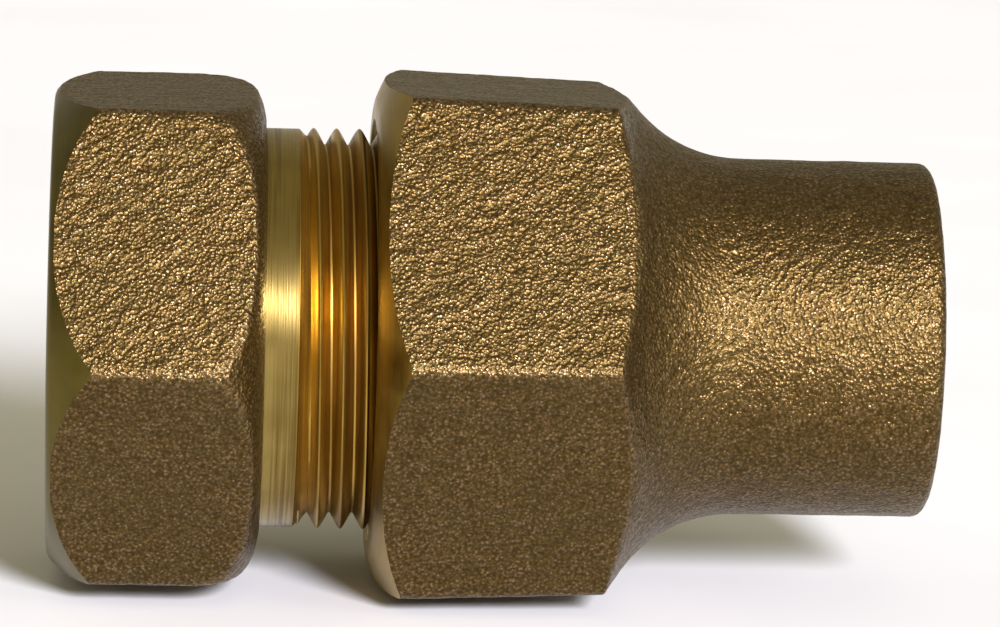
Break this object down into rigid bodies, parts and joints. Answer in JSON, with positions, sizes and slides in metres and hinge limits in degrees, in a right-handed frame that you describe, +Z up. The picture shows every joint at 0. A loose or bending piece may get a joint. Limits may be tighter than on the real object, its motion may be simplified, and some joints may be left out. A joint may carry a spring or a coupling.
{
  "type": "pipe union",
  "caption": "Hexagonal bronze union joining a threaded pipe to plain tube, with a long-neck compression nut screwed over a gasket and grip ring.",
  "frame": {"origin": "on the bore axis at the first full thread of the pipe socket, 1 mm inside the machined end face", "axes": "+X along the bore from the pipe end to the tube end, +Z up out of a hexagon flat of the body, corners toward +Y and -Y"},
  "size_m": [0.0695, 0.0454, 0.0404],
  "materials": {
    "body_bronze": "sand-cast bronze with machined ends",
    "nut_bronze": "sand-cast bronze with machined mouth",
    "gasket_rubber": "matt black",
    "spring_brass": "drawn wire",
    "washer_brass": "stamped",
    "grip_steel": "turned stainless"
  },
  "bodies": {
    "coupling": {"coupling_body": "body_bronze"},
    "packing": {"sealing_gasket": "gasket_rubber", "contact_spring": "spring_brass", "thrust_washer": "washer_brass", "gripper_ring": "grip_steel"},
    "nut": {"compression_nut": "nut_bronze"}
  },
  "joints": [
    {"name": "packing_travel", "type": "slide", "parent": "coupling", "child": "packing", "axis": [1, 0, 0], "range_m": [-0.00363, 0.01451]},
    {"name": "nut_turn", "type": "hinge", "parent": "packing", "child": "nut", "pos_m": [0.03, 0, 0], "axis": [1, 0, 0], "range_deg": [-720, 2880]}
  ],
  "couplings": [
    {"joint": "nut_turn", "follows": "packing_travel", "rad_per_m": 3463.1}
  ]
}
